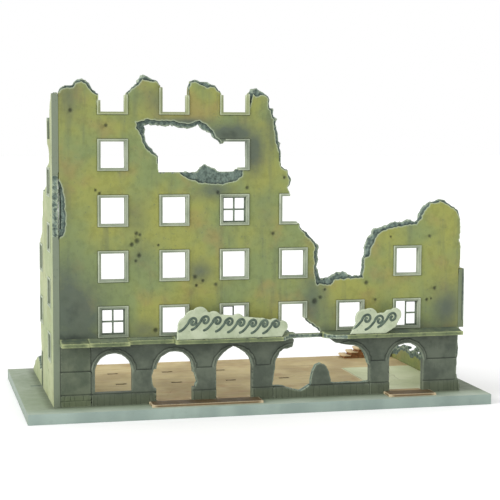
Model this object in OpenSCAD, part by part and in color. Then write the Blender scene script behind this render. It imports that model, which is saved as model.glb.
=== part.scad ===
// Ruined town building for a 1:72 tabletop game, in separate castings on a board.
// X runs along the street front, Y from the street to the open back, Z up.
// The origin is under the middle of the board.

/* [Board] */
// Length of the board along the street
board_l = 360; // [356:1:380]
// Depth of the board
board_d = 191; // [190:1:210]
// Thickness of the board
board_h = 8; // [6:0.5:12]
// Thickness of the floor sheets
floor_h = 1.2; // [0.8:0.1:2]
// Thickness of the door step sheets
step_h = 2; // [1.5:0.1:3]

/* [Walls] */
// Thickness of every wall
wall_t = 5; // [4:0.5:6]
// Depth of the plaster coat on the street side
plaster_t = 1.1; // [0.6:0.1:1.5]
// Distance from the board's front edge to the plaster
pavement = 22; // [20:0.5:24]

/* [Windows] */
// Distance between window centres along the front
pitch_x = 46.2; // [46:0.1:46.4]
// Storey height
storey = 41.4; // [41:0.1:41.6]
// Centre of the first column of windows
first_col_x = -114.2; // [-114.4:0.1:-114]
// Centre height of the lowest row of windows
low_row_z = 70.7; // [70.5:0.1:71]
// Outside width of a window frame
frame_w = 22.6; // [22:0.1:23]
// Outside height of a window frame
frame_h = 23.4; // [23:0.1:24]
// Width of the frame's face
frame_band = 2.4; // [2:0.1:3]
// How far the frame stands out of the plaster
frame_proud = 0.7; // [0.4:0.1:1]

/* [Arcade] */
// Radius of an arch
arch_r = 14; // [13:0.1:14.5]
// Height of the springing line
spring_z = 33; // [32:0.5:34]
// Width of the arch ring
ring_w = 3; // [2.5:0.1:3.2]
// How far rings and piers stand out of the wall
pier_proud = 0.8; // [0.4:0.1:1.2]
// How far the plinth stands out of the wall
plinth_proud = 1.5; // [1.2:0.1:2]
// Top of the plinth
plinth_z = 16.5; // [15:0.5:18]

/* [Canopy] */
// Underside of the canopy slabs
canopy_z = 54; // [53:0.5:54]
// Thickness of the canopy slabs
canopy_t = 4.4; // [3.5:0.1:4.5]
// How far the canopy stands out of the wall
canopy_out = 12; // [10:0.5:14]
// Thickness of the sign boards
sign_t = 1.8; // [1.4:0.1:2.5]

/* [Hidden] */
$fn = 48;
// Inner faces of the side walls
left_in = -154;
right_in = 159.5;
front_y = pavement - board_d / 2;
back_y = front_y + wall_t;
core_y = front_y + plaster_t;
canopy_top = canopy_z + canopy_t;
floor_top = board_h + floor_h;
lining_gap = 0.1;
wall_gap = 0.1;
tab = [8, 3, 3];
tab_gap = 0.15;
small = 0.01;

// Rows count from the broken top storey, 0, down to the row over the canopy, 4. Columns count from the
// left, 1 to 6.
function col_x(c) = first_col_x + (c - 1) * pitch_x;
function row_z(r) = low_row_z + (4 - r) * storey;
hole_w = frame_w - 2;
hole_h = frame_h - 2;

// Whole windows, then broken ones, each as [row, column].
whole_windows = [[1, 1], [2, 1], [2, 2], [2, 3], [3, 1], [3, 2], [3, 3], [3, 4], [3, 6],
                 [4, 1], [4, 2], [4, 3], [4, 5], [4, 6]];
broken_windows = [[0, 1], [0, 2], [0, 3], [1, 3], [2, 4], [4, 4]];
function frame_name(w) = str("window_frame_", w[0], w[1]);

// Windows in the left side wall, each as [y, centre z]. Those near the front light the stairs, half a
// storey lower.
side_w = 19;
side_h = 22;
side_windows = [[-50, row_z(1) - storey / 2], [-50, row_z(2) - storey / 2], [-50, row_z(3) - storey / 2],
                [-50, row_z(4) - storey / 2], [8, row_z(3)], [8, row_z(4)]];
side_door = [5, 16, 37];
function side_name(i) = str("side_frame_", i + 1);

// The front wall's broken outline: [x, z, how far the plaster has come away there].
// It runs from the bottom left corner up and along the top to the bottom right corner.
lo = canopy_top;
function merlon_left(c) = col_x(c) - hole_w / 2;
function merlon_right(c) = col_x(c) + hole_w / 2;
sill_z = row_z(0) - hole_h / 2;
front_outline = concat(
    [[left_in + wall_gap, lo, 0], [left_in + wall_gap, 240, 0], [-152, 244, 1.5], [-149, 245.5, 2],
     [-144, 245.5, 1.2],
     [-142, 248, 1.5], [-137, 250.5, 2.2], [-133, 249, 2.2], [-130, 245, 2], [-127, 241, 1.5],
     [merlon_left(1), 238, 0.5]],
    [[merlon_left(1), sill_z, 0], [merlon_right(1), sill_z, 0]],
    [[merlon_right(1), 240, 0.5], [-100, 244, 1], [-96, 247.5, 2], [-93.5, 253, 3], [-91, 254, 4],
     [-86, 251.5, 2.5],
     [-81, 249.5, 1], [merlon_left(2), 246, 0.3]],
    [[merlon_left(2), sill_z, 0], [merlon_right(2), sill_z, 0]],
    [[merlon_right(2), 243, 0.5], [-56, 248.5, 1], [-52, 250.5, 1.5], [-48, 249, 2.5], [-43, 249, 3.5],
     [-39, 246.5, 2],
     [-36, 246, 1.5], [-34, 242, 0.8], [merlon_left(3), 240, 0.3]],
    [[merlon_left(3), sill_z, 0], [merlon_right(3), sill_z, 0]],
    [[merlon_right(3), 241, 4], [-9, 243.5, 6], [-5, 244.5, 6], [-1, 242, 3], [3, 240.5, 1.5],
    [4.8, 236, 1.2],
     [5.5, 230, 1.5], [8, 229, 2.5], [8.7, 223, 1.8], [11.5, 221.5, 3], [9.7, 218.5, 1.5], [12, 211, 2.5],
     [13, 205, 3], [14.2, 203, 3.2], [13.3, 199, 2], [15, 195.5, 2.5], [14, 190, 1.5], [14.7, 186, 1],
     [20, 183, 0.8], [20.5, 179, 0.8], [22.8, 176, 1.8], [22.3, 172, 1.5], [20, 169.5, 0.5],
     [21.7, 166, 0.3],
     [21.5, row_z(2) + hole_h / 2, 0], [merlon_left(4), row_z(2) + hole_h / 2, 0]],
    [[merlon_left(4), row_z(2) - hole_h / 2, 0], [28, row_z(2) - hole_h / 2, 0.2]],
    [[30, 139.5, 0.8], [32.5, 136.8, 1.2], [35, 136.2, 2.2], [37, 132.5, 1.5], [41, 129, 2], [45, 125.5, 4],
     [45.8, 122.5, 4.5], [44.2, 118, 3.5], [45.2, 113.5, 3.5], [44, 108.5, 3], [45.2, 104, 4],
     [46.2, 99.7, 5],
     [53, 99.5, 5.5], [56, 102, 4], [62, 104.2, 5.5], [67, 103.8, 5], [71, 101, 2], [79.5, 100.6, 1.2],
     [80.5, 108, 1], [80.3, 114.5, 1], [82.3, 117, 3], [82.5, 123, 4.5], [84.5, 129, 5], [90, 137, 4.5],
     [97, 139.3, 3], [107, 142.3, 3.5], [113, 141.6, 2.5], [117.5, 144, 4], [120, 143.6, 3.5],
     [124, 141.3, 0.8],
     [126, 146, 2], [129.5, 153.5, 2.5], [135.5, 158, 1.5], [138, 157.6, 0.6], [143, 159.8, 1.5],
     [147, 159.3, 2.5], [152, 155.6, 1.2], [right_in, 150.5, 1.8]],
    [[right_in + 1, 144, 0.6], [right_in + 1.4, 134, 0.4], [right_in + 1, 128, 0.8],
    [right_in + 1.8, 120, 0.5],
     [right_in + 1.3, 106, 0], [right_in - wall_gap, 105.5, 0]],
    [[right_in - wall_gap, lo, 0], [46.5, lo, 0.5], [43, 61, 0.8], [38.5, 64.8, 1.2], [35, 67.5, 0.6],
     [merlon_right(4), 69, 0], [merlon_right(4), row_z(4) + hole_h / 2, 0],
     [merlon_left(4), row_z(4) + hole_h / 2, 0], [merlon_left(4), lo, 0]]);

// The shell hole between the two upper rows takes in two windows. Same form as the outline.
w13_right = merlon_right(3);
shell_hole = [
    [-80, 181.8, 0], [-80, 193.5, 1], [-83, 197, 2.5], [-87, 201, 3], [-89.5, 206, 2.5], [-91, 209.8, 2.5],
    [-89.6, 213, 6.5], [-90.3, 216, 7], [-87.5, 217.5, 3.5], [-80, 216.4, 3.8], [-74, 215.6, 4.5],
    [-70, 217, 3], [-64, 215.2, 3.2], [-58, 214, 3.6], [-53.5, 215.4, 3.6], [-50, 217.2, 3.2],
    [-46, 213.5, 4],
    [-40.5, 211, 2.5], [-37, 208, 1.2], [-34, 204, 0.8], [-32.6, 202.4, 1], [-31, 203, 0.5],
    [merlon_left(3) + 2.3, 205.5, 0], [w13_right, 205.5, 0], [w13_right, 184.1, 0],
    [-20.5, 184.1, 0.3], [-23, 182, 0.5], [-33, 182, 1], [-36, 184, 1], [-41, 185.8, 1], [-44.5, 187, 1],
    [-48, 185.3, 1], [-50.5, 182, 1], [-60, 181.8, 0.5], [-68, 181.8, 0]];
// The plaster under the hole came away in one large scar.
scar = [[-64, 182], [-61.5, 179], [-55, 176], [-48, 173.5], [-38, 172.5], [-28, 173.5], [-20, 176],
    [-16, 179],
        [-16.5, 185], [-40, 190]];

// A blow to the left corner took the plaster off the front wall's end.
corner_hole = [[-155, 181], [-154, 178], [-151.5, 170], [-149.6, 158], [-149, 145], [-150.5, 137],
    [-155, 132]];

// The side walls, seen from the left and from inside: [y, z, plaster loss].
left_outline = [
    [front_y, board_h, 0], [front_y, 239.5, 0], [-70, 240.5, 1], [-65, 236, 1.5], [-60.5, 233, 1.5],
    [-58.5, 225, 0.3], [-58.5, 206, 0], [-42, 206, 0], [-42, 219, 0], [-38.6, 222, 0], [-37.6, 212, 0.6],
    [-39.5, 201.5, 1], [-49, 199, 1], [-52.5, 195, 1.5], [-51, 189.5, 1], [-44, 187.5, 1], [-38, 186, 1.5],
    [-36, 178, 1.6], [-36.5, 173.5, 2], [-30, 171.5, 2], [-21, 170.5, 3], [-17, 166.8, 1.5],
    [-8, 166, 0.8], [-5, 158.5, 1], [-1, 157, 2], [-3, 147, 1], [2, 144, 1.5], [3.5, 134, 1.5],
    [12, 130, 2],
    [19, 127, 1.5], [22, 121, 1.5], [21, 112, 1.2], [22.5, 101, 0.8], [25.5, 92, 1.2], [24, 80, 1],
     [26, 70, 1.2],
    [22, 61, 1], [20, 48, 1], [16.5, 39, 1], [19, 30, 1], [17, 22, 0.8], [27, 20, 0.6], [32, 25, 0.8],
     [40, 27.5, 1],
    [50, 26.5, 1], [60, 22.5, 0.8], [68, 20.5, 0.8], [76, 15, 0.8], [85, 12, 0.6], [89, board_h, 0]];
right_outline = [
    [front_y, canopy_top, 0], [front_y, 104.5, 0.6], [-70, 105.5, 0.6], [-66, 102, 1], [-62, 90, 1.5],
     [-55, 86, 1.5],
    [-51, 71, 2], [-44, 64, 1.5], [-41, 50, 2], [-33, 43, 2], [-24, 40, 2], [-18, 31, 2.5], [-8, 27, 4],
    [2, 24.5, 5], [12, 21.5, 5], [22, 24, 6], [33, 20.5, 4.5], [45, 23, 6], [57, 22, 6], [66, 18.5, 4],
    [76, 19, 3], [84, 14.5, 2], [90, board_h, 0], [-60, board_h, 0], [-61, 26, 0.5], [-64, 38, 0.5],
    [-62, canopy_z - 3, 0], [-65, canopy_top, 0]];

// ---- outlines ----

// Unit vector that points to the left of the way from a to b.
function left_of(a, b) = let (d = [b[0] - a[0], b[1] - a[1]]) [-d[1], d[0]] / norm(d);

// The outline where the plaster stops: every point moves to one side by its own plaster loss.
function plaster_edge(run, side) = [
    for (i = [0 : len(run) - 1])
        let (n = len(run), a = run[(i + n - 1) % n], p = run[i], b = run[(i + 1) % n],
             v = left_of(a, b) * side)
            [p[0] + v[0] * p[2], p[1] + v[1] * p[2]]];
function flat(run) = [for (p = run) [p[0], p[1]]];

// A flat shape in x and z, made solid from y0 to y1.
module upright(y0, y1) translate([0, y1, 0]) rotate([90, 0, 0]) linear_extrude(y1 - y0) children();
// A flat shape in y and z, made solid from x0 to x1.
module sideways(x0, x1) translate([x0, 0, 0]) rotate([90, 0, 90]) linear_extrude(x1 - x0) children();
module box(a, b) translate(a) cube(b - a);

// Tabs under a wall that runs along X or along Y. They stand in slots of the board.
module tabs_x(places, y) {
    half = [tab[0] / 2, tab[1] / 2];
    for (x = places)
        box([x - half[0], y - half[1], board_h - tab[2]], [x + half[0], y + half[1], board_h + small]);
}
module tabs_y(places, x) {
    half = [tab[1] / 2, tab[0] / 2];
    for (y = places)
        box([x - half[0], y - half[1], board_h - tab[2]], [x + half[0], y + half[1], board_h + small]);
}

// ---- board and floor ----
wall_mid_y = front_y + wall_t / 2;
left_mid_x = left_in - wall_t / 2;
right_mid_x = right_in + wall_t / 2;
pier_tabs = [-143];
arcade_left_tabs = [-120, -92, -44, 1];
parapet_tabs = [25, 65];
arcade_right_tabs = [94, 147];
left_tabs = [-60, -20, 60];
right_tabs = [-40, 10, 60];
// Empty slots, for room dividers and scenery with the same tabs
floor_slots = [[-97, 49], [-51, 48], [-6, 47], [-97, 2], [-52, 1], [-7, 1], [38, 1]];
board_slot = [-163.6, 15];

module slot(p, bottom, top) {
    s = [tab[0] + 2 * tab_gap, tab[1] + 2 * tab_gap];
    box([p[0] - s[0] / 2, p[1] - s[1] / 2, bottom], [p[0] + s[0] / 2, p[1] + s[1] / 2, top]);
}
module slot_y(p, bottom, top) {
    s = [tab[1] + 2 * tab_gap, tab[0] + 2 * tab_gap];
    box([p[0] - s[0] / 2, p[1] - s[1] / 2, bottom], [p[0] + s[0] / 2, p[1] + s[1] / 2, top]);
}
slot_z = board_h - tab[2] - 0.5;
module base_board() color("#9fb0a8") difference() {
    box([-board_l / 2, -board_d / 2, 0], [board_l / 2, board_d / 2, board_h]);
    for (x = concat(pier_tabs, arcade_left_tabs, parapet_tabs, arcade_right_tabs))
        slot([x, wall_mid_y], slot_z, board_h + 1);
    for (y = left_tabs) slot_y([left_mid_x, y], slot_z, board_h + 1);
    for (y = right_tabs) slot_y([right_mid_x, y], slot_z, board_h + 1);
    slot(board_slot, slot_z, board_h + 1);
}
yard_x = 98;
yard_y = 35;
sheet_gap = 0.2;
module floor_panel() color("#b9a877") difference() {
    box([left_in + sheet_gap, back_y + sheet_gap, board_h], [right_in - sheet_gap, board_d / 2, floor_top]);
    box([yard_x - sheet_gap, back_y - 1, board_h - 1], [right_in + 1, yard_y + sheet_gap, floor_top + 1]);
    for (p = floor_slots) slot(p, board_h - 1, floor_top + 1);
}
module yard_slab() color("#c3cda6")
    box([yard_x, back_y + sheet_gap, board_h], [right_in - sheet_gap, yard_y, floor_top]);

// A door step lies in front of the wall, and its tongues run under the arches to the floor.
step_front = front_y - 16.5;
step_back = front_y - plinth_proud - sheet_gap;
module door_step(x0, x1, tongues) difference() {
    union() {
        box([x0, step_front, board_h], [x1, step_back, board_h + step_h]);
        for (c = tongues)
            translate([col_x(c), 0, 0])
                box([1 - arch_r, step_back - 1, board_h], [arch_r - 1, back_y, board_h + step_h]);
    }
    // worn front corner
    translate([x0, step_front, board_h - 1]) rotate(45) cube([2.4, 2.4, step_h + 2], center = true);
}
module door_step_left() color("#a98a63") door_step(-87.5, -2.7, [2, 3]);
module door_step_right() color("#a98a63") door_step(98.2, 136.1, [6]);

// ---- arcade ----
module arch_shape(c, foot) {
    translate([col_x(c), spring_z]) circle(r = arch_r, $fn = 64);
    translate([col_x(c) - arch_r, foot]) square([2 * arch_r, spring_z - foot]);
}
module ring_shape(c) intersection() {
    difference() {
        translate([col_x(c), spring_z]) circle(r = arch_r + ring_w, $fn = 64);
        translate([col_x(c), spring_z]) circle(r = arch_r, $fn = 64);
    }
    translate([col_x(c) - 20, spring_z]) square([40, 30]);
}
impost_z = spring_z + 0.8;

// The pieces of arcade start as one long wall and are cut out of it by these shapes.
pier_x = [left_in + wall_gap, col_x(1) - arch_r - ring_w];
arcade_left_break = [
    [-131.1, board_h], [-131.1, canopy_z], [22, canopy_z], [25.5, 53], [24.8, 49], [23.3, 46.6], [18, 46.2],
    [14, 44], [10.5, spring_z], [8.4, 20], [8.4, board_h]];
parapet_break = [
    [8.6, board_h], [8.6, 17.5], [14, 17.2], [20, 16], [26, 13.6], [31, 13], [36, 15.5], [39.2, 17.5],
     [39.6, 22],
    [41, 28], [43.5, 32.4], [47, 33.6], [50.5, 32.4], [53.2, 28.5], [55, 22.5], [55.4, 18], [62, 17.4],
    [70, 17.8], [80, 17.3], [86.6, 18], [86.6, board_h]];
arcade_right_break = [
    [86.8, board_h], [86.8, 30], [84.6, 34], [83, 39], [79, 43.6], [74, 46.4], [68, 47.6], [62, 48.6],
     [58, 49.6],
    [55, 52.4], [48, canopy_z - 0.2], [48, canopy_z], [right_in, canopy_z], [right_in, 44],
    [right_in - 0.8, 38], [right_in - 0.3, 30], [right_in - 1, 22], [right_in + 0.6, plinth_z],
     [right_in + 2.2, 12], [right_in + 2, board_h]];

module arch_gaps() {
    arch_shape(1, plinth_z + 1);
    for (c = [2, 3, 6]) arch_shape(c, board_h - 1);
    // arches 4 and 5 lost the pier between them
    for (c = [4, 5]) translate([col_x(c), spring_z]) circle(r = arch_r, $fn = 64);
}
module damage_shapes() {
    // the crown of arch 3 and the foot of arch 2 are chipped
    polygon([[-31, 44], [-26.5, 47.5], [-22.5, 49.6], [-18.5, 47.6], [-14, 45]]);
    polygon([[-83, 19], [-84.8, 23], [-85.3, 29], [-83.8, 34], [-81, 34], [-81, 19]]);
    polygon([[-52, 19], [-50.8, 23], [-52.2, 29], [-54.4, 31], [-56, 19]]);
}
module arcade_body(shape) {
    // wall
    upright(front_y, back_y) difference() {
        polygon(shape);
        arch_gaps();
        damage_shapes();
    }
    // pier blocks up to the springing line, and the rings
    upright(front_y - pier_proud, front_y) intersection() {
        difference() {
            union() {
                translate([left_in + wall_gap, board_h]) square([board_l, impost_z - board_h]);
                for (c = [1 : 6]) ring_shape(c);
            }
            arch_gaps();
            damage_shapes();
        }
        polygon(shape);
    }
    // plinth
    upright(front_y - plinth_proud, front_y - pier_proud) intersection() {
        difference() {
            translate([left_in + wall_gap, board_h]) square([board_l, plinth_z - board_h]);
            arch_gaps();
            damage_shapes();
        }
        polygon(shape);
    }
}
// The low wall has no arches, only the stump of the lost pier.
module arcade_body_low(shape) {
    upright(front_y, back_y) polygon(shape);
    upright(front_y - plinth_proud, front_y) intersection() {
        polygon(shape);
        translate([0, board_h]) square([100, plinth_z - board_h]);
    }
}
module corner_pier() color("#5d6658") {
    arcade_body([
        [pier_x[0], board_h], [pier_x[0], canopy_z],
        [pier_x[1] - wall_gap, canopy_z], [pier_x[1] - wall_gap, board_h]]);
    tabs_x(pier_tabs, wall_mid_y);
}
module arcade_left() color("#586159") {
    arcade_body(arcade_left_break);
    tabs_x(arcade_left_tabs, wall_mid_y);
}
module parapet_wall() color("#5f695c") {
    arcade_body_low(parapet_break);
    tabs_x(parapet_tabs, wall_mid_y);
}
module arcade_right() color("#586159") {
    arcade_body(arcade_right_break);
    tabs_x(arcade_right_tabs, wall_mid_y);
}

// ---- canopy ----
// Each slab rests on the arcade and carries the front wall. Its top is a flat shelf that then rises to
// the wall.
shelf_z = canopy_top - 1.2;
bridge_z = canopy_z + 3;
shelf_d = 3.4;
slab_gap = 0.15;
slab_ends = [left_in + wall_gap, -133.6, -103.4, -69, 47.6, right_in];
module canopy_profile(out) polygon([
    [back_y, canopy_z], [front_y - out, canopy_z], [front_y - out, shelf_z],
    [front_y - out + shelf_d, shelf_z],
    [front_y, canopy_top + 0.5], [front_y, canopy_top], [back_y, canopy_top]]);
module canopy_slab(n, out = canopy_out)
    sideways(slab_ends[n - 1] + (n > 1 ? slab_gap : 0), slab_ends[n]) canopy_profile(out);
module canopy_slab_1() color("#7f8a56") canopy_slab(1);
module canopy_slab_2() color("#7f8a56") canopy_slab(2, canopy_out - 0.3);
module canopy_slab_3() color("#7f8a56") canopy_slab(3, canopy_out - 6.5);
// Broken off over the lost bay, where only a thin strip of it still bridges the gap
module canopy_slab_4() color("#7f8a56") difference() {
    canopy_slab(4);
    translate([0, 0, canopy_z - 1]) linear_extrude(canopy_t + 4) polygon([
        [13.6, front_y - 13], [14.2, front_y - 11.4], [16.5, front_y - 10], [15, front_y - 8],
        [19, front_y - 6],
        [21, front_y - 2.5], [25.5, front_y - 1.5], [28, front_y + 1], [36, front_y + 0.6],
        [48, front_y + 1.2],
        [48, front_y - 13]]);
    box([26, front_y - 4, bridge_z], [48, back_y + 1, canopy_top + 3]);
}
module canopy_slab_5() color("#6f7d58") difference() {
    canopy_slab(5);
    translate([0, 0, canopy_z - 1]) linear_extrude(canopy_t + 4) polygon([
        [47, front_y - 2], [48.6, front_y - 4.5], [49.6, front_y - 7], [54, front_y - 8],
        [57, front_y - 10.5],
        [64, front_y - 11.2], [68, front_y - 13], [47, front_y - 13]]);
}

// ---- walls ----
module front_wall() color("#8f9a56") {
    upright(core_y, back_y) difference() {
        polygon(flat(front_outline));
        front_holes();
        polygon(flat(shell_hole));
    }
    upright(front_y, core_y) difference() {
        polygon(plaster_edge(front_outline, -1));
        front_holes();
        polygon(plaster_edge(shell_hole, 1));
        polygon(scar);
        polygon(corner_hole);
    }
}
module front_holes() {
    for (w = whole_windows)
        translate([col_x(w[1]) - hole_w / 2, row_z(w[0]) - hole_h / 2]) square([hole_w, hole_h]);
}
module left_holes() {
    for (w = side_windows) translate(w) square([side_w - 2, side_h - 2], center = true);
    translate([side_door[0], board_h - 1])
        square([side_door[1] - side_door[0], side_door[2] - board_h + 1]);
}
module side_wall_left() color("#a9b783") difference() {
    union() {
        sideways(left_in - wall_t + plaster_t, left_in) difference() {
            polygon(flat(left_outline));
            left_holes();
        }
        sideways(left_in - wall_t, left_in - wall_t + plaster_t) difference() {
            polygon(plaster_edge(left_outline, -1));
            left_holes();
        }
        tabs_y(left_tabs, left_mid_x);
    }
    // the blow to the corner
    sideways(left_in - wall_t + 1, left_in + 1) polygon([
        [front_y - 1, 182], [front_y + 0.6, 180], [front_y + 1.6, 168], [front_y + 2.2, 150],
        [front_y + 1.4, 137], [front_y - 1, 131]]);
}
module side_wall_right() color("#8f9a66") {
    sideways(right_in, right_in + wall_t - plaster_t) polygon(flat(right_outline));
    sideways(right_in + wall_t - plaster_t, right_in + wall_t) polygon(plaster_edge(right_outline, -1));
    tabs_y(right_tabs, right_mid_x);
}

// ---- windows ----
// A frame stands in front of the plaster and its lining runs through the wall. It faces -Y, round the
// point [0, 0, 0].
module frame_solid(w, h) difference() {
    union() {
        box([-w / 2, -frame_proud, -h / 2], [w / 2, 0, h / 2]);
        box([1 + lining_gap - w / 2, -small, 1 + lining_gap - h / 2],
            [w / 2 - 1 - lining_gap, wall_t, h / 2 - 1 - lining_gap]);
    }
    box([frame_band - w / 2, -5, 2 - h / 2], [w / 2 - frame_band, wall_t + 1, h / 2 - 2]);
}
module window_frame(r, c) color("#a3ab92")
    translate([col_x(c), front_y, row_z(r)]) frame_solid(frame_w, frame_h);
// What is left of a broken frame is the frame inside a flat shape.
module broken_frame(r, c, shape) color("#a3ab92") translate([col_x(c), front_y, row_z(r)]) intersection() {
    frame_solid(frame_w, frame_h);
    upright(-3, wall_t + 3) polygon(shape);
}
module side_frame(w) color("#a3ab92")
    translate([left_in - wall_t, w[0], w[1]]) rotate([0, 0, -90]) frame_solid(side_w, side_h);
half_w = frame_w / 2 + 1;
half_h = frame_h / 2 + 1;
function u_shape(left_top, right_top) = [
    [-half_w, -half_h], [-half_w, left_top - 0.6], [-half_w + 2.2, left_top], [-6, left_top - 1.2],
    [-6, -6],
    [6, -6], [6, right_top - 1], [half_w - 2, right_top], [half_w, right_top - 0.8], [half_w, -half_h]];
broken_shapes = [
    u_shape(-1, 3), u_shape(8.6, 3), u_shape(3.4, 4),
    [[2.5, -half_h], [3, -9.8], [5.5, -9.2], [6, -2], [6, 2], [2, 7.5], [-7.2, 7.5], [-7.4, 11],
    [-6.5, half_h],
     [half_w, half_h], [half_w, -half_h]],
    [[-half_w, -half_h], [-half_w, half_h], [-3.1, half_h], [-2.8, 11], [-3.4, 9], [-6, 6], [-6, -6],
    [2.5, -6],
     [3.2, -9.5], [2.7, -11], [2.8, -half_h]],
    [[-half_w, half_h], [-half_w, -11.8], [-9.4, -12.2], [-8, -11.2], [-6, -6], [-6, 6], [6, 6], [7, -1.2],
     [half_w, -1.7], [half_w, half_h]]];

// A casement: border and glazing bars, without glass. It is as thick as a card.
sash_t = 1;
sash_bar = 0.9;
sash_y = back_y - 2.4;
open_w = frame_w - 2 * frame_band;
open_h = frame_h - 4;
module sash(r, c, cut = false, x0 = 0, z0 = 0, x1 = 0, z1 = 0) color("#6f7a6b")
    upright(sash_y, sash_y + sash_t) translate([col_x(c), row_z(r)]) intersection() {
        difference() {
            square([open_w - 0.1, open_h - 0.1], center = true);
            for (sx = [-1, 1], sz = [-1, 1])
                translate([sx * (open_w - sash_bar) / 4, sz * (open_h - sash_bar) / 4])
                    square([open_w / 2 - 2 * sash_bar, open_h / 2 - 2 * sash_bar], center = true);
        }
        if (cut) translate([x0, z0]) square([x1 - x0, z1 - z0]);
        else square([open_w + 1, open_h + 1], center = true);
    }

// ---- signs ----
// A sign board is a row of round lobes on a foot. Each lobe: [x, z, radius]. Raised scrolls stand in for
// writing.
sign_y = front_y - canopy_out + 1;
left_lobes = [
    [-60, 67, 7.5], [-55, 71.5, 8], [-50.5, 75.5, 6.2], [-40, 72.5, 5.6], [-30, 68.5, 5],
    [-21.5, 70.5, 5.2],
    [-12.5, 68, 4.8], [-2.5, 67.2, 4.8], [7, 66.6, 4.6], [13, 65, 4.6]];
right_lobes = [[78.5, 69, 7.2], [83, 71, 6], [92, 67.6, 5.6], [99.5, 69.5, 6], [103.5, 71.5, 5.2]];
module sign_board(lobes, foot) upright(sign_y, sign_y + sign_t) {
    for (l = lobes) translate([l[0], l[1]]) circle(r = l[2]);
    polygon(foot);
}
// A scroll is two thirds of a ring with a bead at its middle.
module scroll(x, z, r) translate([x, sign_y, z]) rotate([90, 0, 0]) {
    difference() {
        rotate_extrude(angle = 250) translate([r - 0.9, 0]) square([1, 0.5]);
        translate([0, 0, -1]) cylinder(r = 0.4, h = 3);
    }
    cylinder(r = 0.9, h = 0.5);
}
left_foot = [
    [-68.2, shelf_z], [-67.6, 66], [-62, 74], [-50, 80], [-40, 76], [-21, 74], [-2, 71.5], [13, 69],
    [17, 64],
    [13, shelf_z]];
right_foot = [
    [67.5, shelf_z], [72, 66], [80, 75], [92, 72.4], [103, 76], [108.4, 70], [104, 62], [96, shelf_z]];
module sign_left() color("#a9b394") union() {
    sign_board(left_lobes, left_foot);
    for (l = left_lobes) scroll(l[0], l[1] - 2, l[2] * 0.62);
}
module sign_right() color("#b4bda6") union() {
    sign_board(right_lobes, right_foot);
    for (l = right_lobes) scroll(l[0], l[1] - 2, l[2] * 0.62);
}

// ---- stairs and rubble ----
stair_x = 113;
stair_y = 79;
tread_h = 0.9;
rise = 2.8;
tread_run = 6.5;
stair_steps = 3;
stair_end = right_in - 1.5;
module stair_block() color("#8a5a3c") difference() {
    union() for (i = [0 : stair_steps - 1])
        box([stair_x + 2 + i * tread_run, stair_y, floor_top],
            [stair_end, board_d / 2 - 1, floor_top + (i + 1) * rise - tread_h]);
    // broken back corner
    translate([stair_end, board_d / 2 - 1, floor_top + 6])
        rotate([20, 15, 35]) cube([9, 7, 8], center = true);
}
// Round-nosed treads, one on each step
module stair_treads() color("#bfa97e") for (i = [0 : stair_steps - 1]) {
    z = floor_top + (i + 1) * rise - tread_h;
    x0 = stair_x + 2 + i * tread_run;
    x1 = i == stair_steps - 1 ? x0 + 15 : x0 + tread_run;
    difference() {
        union() {
            box([x0, stair_y - 0.6, z], [x1, board_d / 2 - 1, z + tread_h]);
            translate([x0, (stair_y - 0.6 + board_d / 2 - 1) / 2, z]) scale([0.32, 1, 1])
                cylinder(d = board_d / 2 - 1 - stair_y + 0.6, h = tread_h);
        }
        if (i < stair_steps - 1)
            translate([x0 + tread_run, (stair_y - 0.6 + board_d / 2 - 1) / 2, z - 1]) scale([0.32, 1, 1])
                cylinder(d = board_d / 2 - 1 - stair_y + 1.2, h = tread_h + 2);
    }
}

// A broken lump of stone with a flat underside: the hull of a ring of points, a smaller ring and a peak.
module stone(p, size, seed) {
    k = rands(0.7, 1.15, 16, seed);
    turn = rands(0, 60, 1, seed + 1)[0];
    translate(p) rotate(turn) hull() polyhedron(
        points = concat(
            [for (i = [0 : 5]) [size * k[i] * cos(60 * i), size * 0.8 * k[i] * sin(60 * i), 0]],
            [for (i = [0 : 5])
                [size * 0.62 * k[i + 6] * cos(60 * i + 20), size * 0.5 * k[i + 6] * sin(60 * i + 20),
                 size * 0.55 * k[i + 8]]],
            [[size * 0.1, 0, size * 0.8 * k[14]]]),
        faces = concat(
            [[5, 4, 3, 2, 1, 0]],
            [for (i = [0 : 5]) [i, (i + 1) % 6, (i + 1) % 6 + 6, i + 6]],
            [for (i = [0 : 5]) [i + 6, (i + 1) % 6 + 6, 12]]));
}
// Lumps on the middle line of the right side wall: [y, z, size].
module stones(places, seed) for (i = [0 : len(places) - 1])
    stone([right_mid_x, places[i][0], places[i][1]], places[i][2], seed + 7 * i);
// A lump of the front that lies behind the sign on the broken end of the canopy
module canopy_rubble() color("#6e776c") stone([20, front_y + 2.3, canopy_top], 3, 5);
// Stones that hold on along the top of the right side wall
module wall_top_rubble() color("#6a756f") difference() {
    stones([
        [-33, 42.4, 2.8], [-25, 39.4, 3], [-17, 31, 3], [-8, 27, 3.4], [2, 24.5, 3.4],
        [12, 21.5, 3.6], [22, 24, 3.6],
        [33, 20.5, 3.6], [45, 22.6, 3.6], [57, 21.6, 3.4], [66, 18.5, 3.2], [75, 18.6, 3]], 31);
    sideways(right_in - 3, right_in + wall_t + 3) polygon(flat(right_outline));
}

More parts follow.
